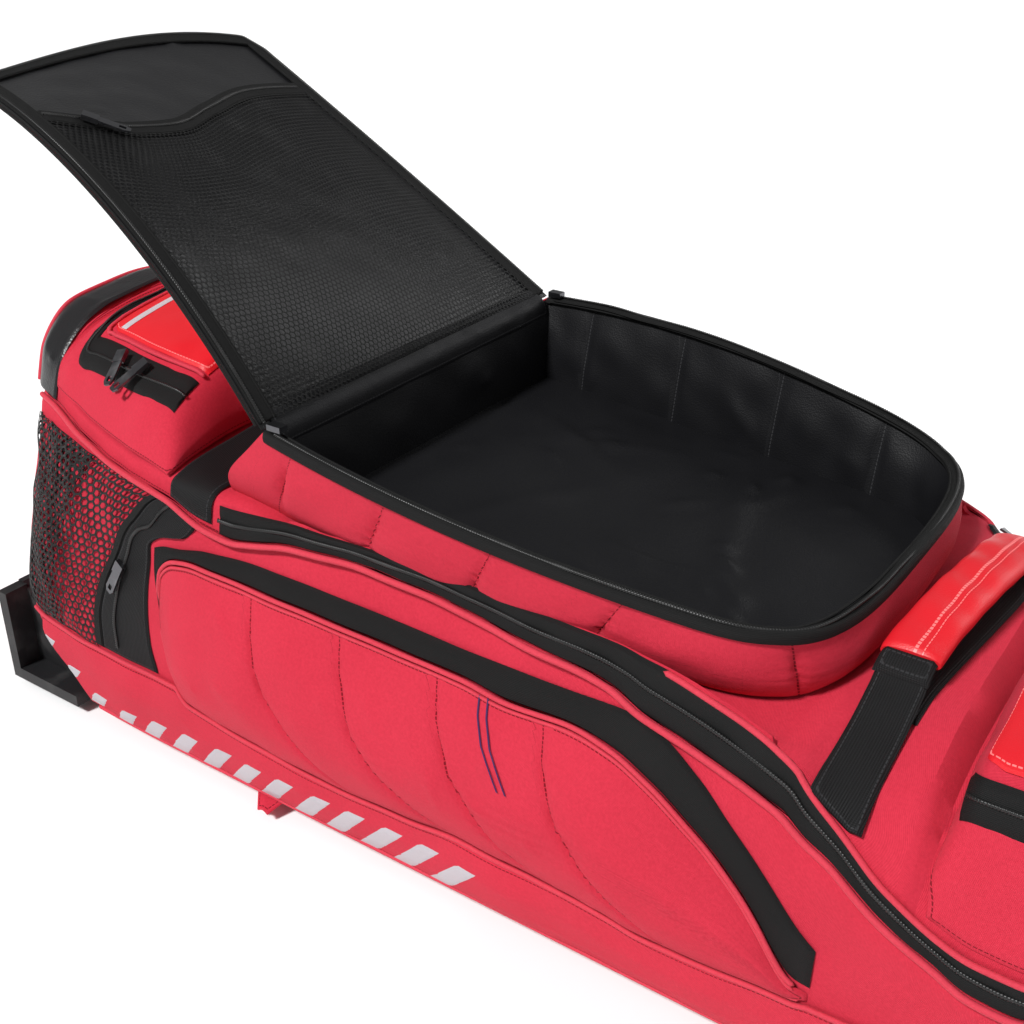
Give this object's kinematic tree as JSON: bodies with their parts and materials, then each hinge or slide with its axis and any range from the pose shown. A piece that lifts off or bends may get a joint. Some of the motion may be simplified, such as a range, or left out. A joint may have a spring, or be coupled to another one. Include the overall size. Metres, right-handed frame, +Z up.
{
  "type": "wheeled cricket kit bag",
  "caption": "Long soft wheeled kit bag lying on its base, with its top compartment open and lid leaning back, quilted side pockets, a grab handle and corner wheels.",
  "frame": {"origin": "middle of the bounding box of the whole bag, on the ground", "axes": "+X from the wheel end to the handle end, +Y to the far side, +Z up"},
  "size_m": [1.0816, 0.509, 0.6366],
  "materials": {
    "red_polyester": "woven polyester, soft sheen",
    "red_coated_cloth": "coated cloth, satin",
    "red_piping": "corded piping",
    "black_lining": "smooth nylon",
    "black_webbing": "ribbed webbing",
    "black_zip_tape": "zip tape with coil",
    "black_net": "knitted net",
    "white_tape": "plain woven tape",
    "black_plastic": "moulded, fine grain",
    "wheel_rubber": "moulded rubber tread",
    "gunmetal": "dark nickel plate"
  },
  "bodies": {
    "bag": {"body_tub": "red_polyester", "top_deck": "red_polyester", "box_wall": "red_polyester", "compartment_lining": "black_lining", "rim_zip": "black_zip_tape", "hinge_slider_near": "gunmetal", "hinge_slider_far": "gunmetal", "top_lid": "red_polyester", "lid_border": "black_lining", "lid_net_pocket": "black_net", "lid_net_binding": "black_zip_tape", "lid_net_puller": "gunmetal", "main_zip_band": "black_zip_tape", "main_piping": "red_piping", "end_piping": "red_piping", "end_band": "black_lining", "girdle_band": "black_webbing", "shoe_pocket": "red_polyester", "shoe_pocket_zip": "black_zip_tape", "shoe_pocket_cap": "red_coated_cloth", "shoe_pocket_piping": "red_piping", "label_strip": "white_tape", "shoe_puller_left": "gunmetal", "shoe_puller_right": "gunmetal", "end_pocket": "red_polyester", "end_pocket_zip_near": "black_zip_tape", "end_pocket_zip_far": "black_zip_tape", "end_pocket_cap": "red_coated_cloth", "grab_handle": "black_webbing", "grab_sleeve": "red_coated_cloth", "far_strap": "black_webbing", "far_strap_fitting": "gunmetal", "side_pocket_near": "red_polyester", "side_pocket_zip_near": "black_zip_tape", "side_pocket_piping_near": "red_piping", "net_pocket_near": "black_net", "net_binding_near": "black_zip_tape", "zip_panel_near": "black_lining", "zip_panel_puller_near": "gunmetal", "lower_panel_near": "red_polyester", "lower_piping_near": "red_piping", "bottom_piping_near": "red_piping", "side_pocket_far": "red_polyester", "side_pocket_zip_far": "black_zip_tape", "side_pocket_piping_far": "red_piping", "net_pocket_far": "black_net", "net_binding_far": "black_zip_tape", "zip_panel_far": "black_lining", "zip_panel_puller_far": "gunmetal", "lower_panel_far": "red_polyester", "lower_piping_far": "red_piping", "bottom_piping_far": "red_piping", "base_panel": "black_plastic", "base_runner_near": "black_plastic", "wheel_housing_near": "black_plastic", "base_runner_far": "black_plastic", "wheel_housing_far": "black_plastic", "base_tab": "black_webbing"},
    "near_wheel": {"wheel_near": "wheel_rubber"},
    "far_wheel": {"wheel_far": "wheel_rubber"}
  },
  "joints": [
    {"name": "near_wheel_spin", "type": "hinge", "parent": "bag", "child": "near_wheel", "pos_m": [-0.5034, -0.152, 0.038], "axis": [0, 1, 0], "continuous": true},
    {"name": "far_wheel_spin", "type": "hinge", "parent": "bag", "child": "far_wheel", "pos_m": [-0.5034, 0.152, 0.038], "axis": [0, 1, 0], "continuous": true}
  ]
}
